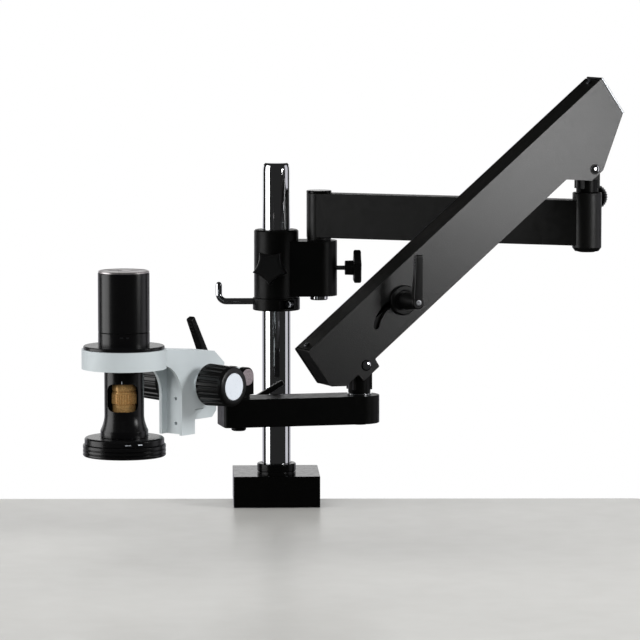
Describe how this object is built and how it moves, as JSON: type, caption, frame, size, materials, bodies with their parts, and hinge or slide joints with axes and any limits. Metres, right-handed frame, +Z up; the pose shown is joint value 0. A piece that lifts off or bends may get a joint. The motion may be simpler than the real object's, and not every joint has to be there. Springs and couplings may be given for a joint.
{
  "type": "digital inspection microscope on articulating arm",
  "caption": "Inspection microscope with ring light on a focusing rack, carried by a sprung double arm that swings on a chrome pole clamped to a table edge.",
  "frame": {"origin": "on the pole's axis, on the underside of the clamp's upper jaw, which is the surface of the table", "axes": "+Z up along the pole, +X to the right along the table's edge as the user faces the stand, +Y away from the user"},
  "size_m": [0.587, 0.514, 0.6257],
  "materials": {
    "powder_black": "satin powder coat",
    "textured_black": "fine textured powder coat",
    "cast_black": "satin powder coat over cast aluminium",
    "anodised_black": "satin black anodised",
    "chrome": "mirror",
    "zinc": "zinc plated",
    "black_plastic": "moulded, slightly glossy",
    "white_enamel": "semi-gloss enamel",
    "cap_white": "smooth",
    "silver_cap": "satin",
    "brass": "satin gold",
    "brown_rubber": "matt",
    "speckled": "cast, speckled",
    "spring_steel": "oiled",
    "circuit_board": "solder mask",
    "lens_glass": "coated",
    "diffuser": "frosted",
    "satin_black": "satin powder coat over cast aluminium",
    "cover_black": "satin powder coat"
  },
  "bodies": {
    "clamp_base": {"clamp_frame": "powder_black", "pole": "chrome", "pole_flange": "powder_black"},
    "clamp_shoe": {"clamp_pad": "powder_black"},
    "clamp_spindle": {"clamp_screw": "zinc"},
    "tommy_bar": {"clamp_tbar": "zinc"},
    "collar": {"stop_collar": "cast_black", "collar_screw": "zinc", "collar_hook": "chrome"},
    "sleeve": {"pole_sleeve": "cast_black"},
    "front_clamp_knob": {"front_knob": "black_plastic"},
    "side_clamp_knob": {"side_knob": "black_plastic"},
    "first_arm": {"swing_arm": "satin_black", "pivot_bolt": "chrome", "arm_cap": "powder_black", "elbow_plug": "brown_rubber"},
    "elbow_clamp_knob": {"elbow_knob": "black_plastic"},
    "elbow_bracket": {"upper_bracket": "cast_black"},
    "boom": {"arm_plate_front": "textured_black", "arm_plate_back": "textured_black", "arm_top_cover": "cover_black", "arm_bottom_cover": "cover_black", "lower_end_cap": "cover_black", "upper_end_cap": "zinc", "cover_screw_upper": "zinc", "cover_screw_lower": "zinc", "upper_pivot_bolt": "chrome", "lower_pivot_bolt": "chrome"},
    "link": {"tie_rod": "cover_black", "slot_stud": "black_plastic", "lift_spring": "spring_steel"},
    "boom_lever": {"slot_lever": "black_plastic"},
    "wrist_bracket": {"lower_bracket": "cast_black", "lower_washer": "chrome"},
    "last_arm": {"tip_arm": "cast_black"},
    "swivel_lever": {"tip_lever": "black_plastic"},
    "swivel_post": {"mount_post": "cast_black", "tilt_pin": "speckled"},
    "tilt_clamp": {"tilt_lever": "black_plastic"},
    "focus_base": {"focus_slide": "white_enamel", "focus_rack": "zinc"},
    "carriage": {"ring_carriage": "white_enamel", "carriage_screw": "zinc"},
    "focus_drive": {"pinion_shaft": "zinc", "focus_knob_right": "black_plastic", "focus_knob_left": "black_plastic", "knob_cap_right": "cap_white", "knob_cap_left": "cap_white"},
    "microscope": {"scope_flange": "anodised_black", "camera_shell": "anodised_black", "camera_top_cap": "silver_cap", "camera_board": "circuit_board", "lens_barrel": "anodised_black", "objective_tube": "black_plastic", "front_lens": "lens_glass", "light_housing": "anodised_black", "led_board": "circuit_board", "light_diffuser": "diffuser"},
    "zoom_control": {"zoom_ring": "brass"},
    "light_lock": {"light_ring": "anodised_black"}
  },
  "joints": [
    {"name": "clamp_shoe_slide", "type": "slide", "parent": "clamp_base", "child": "clamp_shoe", "axis": [0, 0, 1], "range_m": [-0.017, 0.022]},
    {"name": "clamp_screw_spin", "type": "hinge", "parent": "clamp_shoe", "child": "clamp_spindle", "pos_m": [0, 0.016, -0.06], "axis": [0, 0, 1], "range_deg": [-2030, 2630]},
    {"name": "tommy_bar_slide", "type": "slide", "parent": "clamp_spindle", "child": "tommy_bar", "axis": [1, 0, 0], "range_m": [-0.032, 0.032]},
    {"name": "collar_slide", "type": "slide", "parent": "clamp_base", "child": "collar", "axis": [0, 0, 1], "range_m": [-0.085, 0.06]},
    {"name": "pole_swing", "type": "hinge", "parent": "collar", "child": "sleeve", "pos_m": [0, 0, 0.274], "axis": [0, 0, 1], "range_deg": [-150, 150]},
    {"name": "front_knob_spin", "type": "hinge", "parent": "sleeve", "child": "front_clamp_knob", "pos_m": [0, 0, 0.273], "axis": [-0.1994, -0.9799, 0], "range_deg": [0, 360]},
    {"name": "side_knob_spin", "type": "hinge", "parent": "sleeve", "child": "side_clamp_knob", "pos_m": [0.048, 0, 0.269], "axis": [1, 0, 0], "range_deg": [0, 360]},
    {"name": "shoulder_swing", "type": "hinge", "parent": "sleeve", "child": "first_arm", "pos_m": [0.048, 0, 0.33], "axis": [0, 0, 1], "range_deg": [-98, 145]},
    {"name": "elbow_knob_spin", "type": "hinge", "parent": "first_arm", "child": "elbow_clamp_knob", "pos_m": [0.33733, -0.12581, 0.355], "axis": [0.3987, 0.9171, 0], "range_deg": [0, 360]},
    {"name": "elbow_swing", "type": "hinge", "parent": "first_arm", "child": "elbow_bracket", "pos_m": [0.33733, -0.12581, 0.33], "axis": [0, 0, 1], "range_deg": [-14, 270]},
    {"name": "boom_lift", "type": "hinge", "parent": "elbow_bracket", "child": "boom", "pos_m": [0.33733, -0.12581, 0.388], "axis": [-0.3917, 0.9201, 0], "range_deg": [-3, 75]},
    {"name": "link_follow", "type": "hinge", "parent": "elbow_bracket", "child": "link", "pos_m": [0.33733, -0.12581, 0.42], "axis": [-0.3917, 0.9201, 0], "range_deg": [-3.5, 75.5]},
    {"name": "boom_lever_spin", "type": "hinge", "parent": "link", "child": "boom_lever", "pos_m": [0.12315, -0.21699, 0.25415], "axis": [0.3917, -0.9201, 0], "range_deg": [-80, 80]},
    {"name": "wrist_level", "type": "hinge", "parent": "boom", "child": "wrist_bracket", "pos_m": [0.08311, -0.23403, 0.186], "axis": [-0.3917, 0.9201, 0], "range_deg": [-75.5, 3.5]},
    {"name": "wrist_swing", "type": "hinge", "parent": "wrist_bracket", "child": "last_arm", "pos_m": [0.08311, -0.23403, 0.138], "axis": [0, 0, 1], "range_deg": [-30, 135]},
    {"name": "swivel_lever_spin", "type": "hinge", "parent": "last_arm", "child": "swivel_lever", "pos_m": [-0.0464, -0.25953, 0.13], "axis": [-0.1932, 0.9812, 0], "range_deg": [-30, 30]},
    {"name": "post_swivel", "type": "hinge", "parent": "last_arm", "child": "swivel_post", "pos_m": [-0.0464, -0.25953, 0.138], "axis": [0, 0, 1], "range_deg": [-95, 55]},
    {"name": "tilt_lever_spin", "type": "hinge", "parent": "swivel_post", "child": "tilt_clamp", "pos_m": [-0.0464, -0.25953, 0.1757], "axis": [0.7483, -0.6634, 0], "range_deg": [-60, 5]},
    {"name": "head_tilt", "type": "hinge", "parent": "swivel_post", "child": "focus_base", "pos_m": [-0.0464, -0.25953, 0.1757], "axis": [-0.7483, 0.6634, 0], "range_deg": [-15, 25]},
    {"name": "focus_travel", "type": "slide", "parent": "focus_base", "child": "carriage", "axis": [0, 0, 1], "range_m": [-0.011, 0.015]},
    {"name": "focus_knob_spin", "type": "hinge", "parent": "carriage", "child": "focus_drive", "pos_m": [-0.09868, -0.3185, 0.176], "axis": [0.7483, -0.6634, 0], "range_deg": [-180, 130]},
    {"name": "microscope_turn", "type": "hinge", "parent": "carriage", "child": "microscope", "pos_m": [-0.16601, -0.39444, 0.22], "axis": [0, 0, 1], "continuous": true},
    {"name": "zoom_turn", "type": "hinge", "parent": "microscope", "child": "zoom_control", "pos_m": [-0.16601, -0.39444, 0.17], "axis": [0, 0, 1], "range_deg": [-150, 150]},
    {"name": "light_ring_turn", "type": "hinge", "parent": "microscope", "child": "light_lock", "pos_m": [-0.16601, -0.39444, 0.116], "axis": [0, 0, 1], "range_deg": [0, 25]}
  ],
  "couplings": [
    {"joint": "clamp_shoe_slide", "follows": "clamp_screw_spin", "m_per_rad": 0.00047746},
    {"joint": "link_follow", "follows": "boom_lift", "ratio": 1},
    {"joint": "wrist_level", "follows": "boom_lift", "ratio": -1},
    {"joint": "focus_knob_spin", "follows": "focus_travel", "rad_per_m": -200}
  ]
}
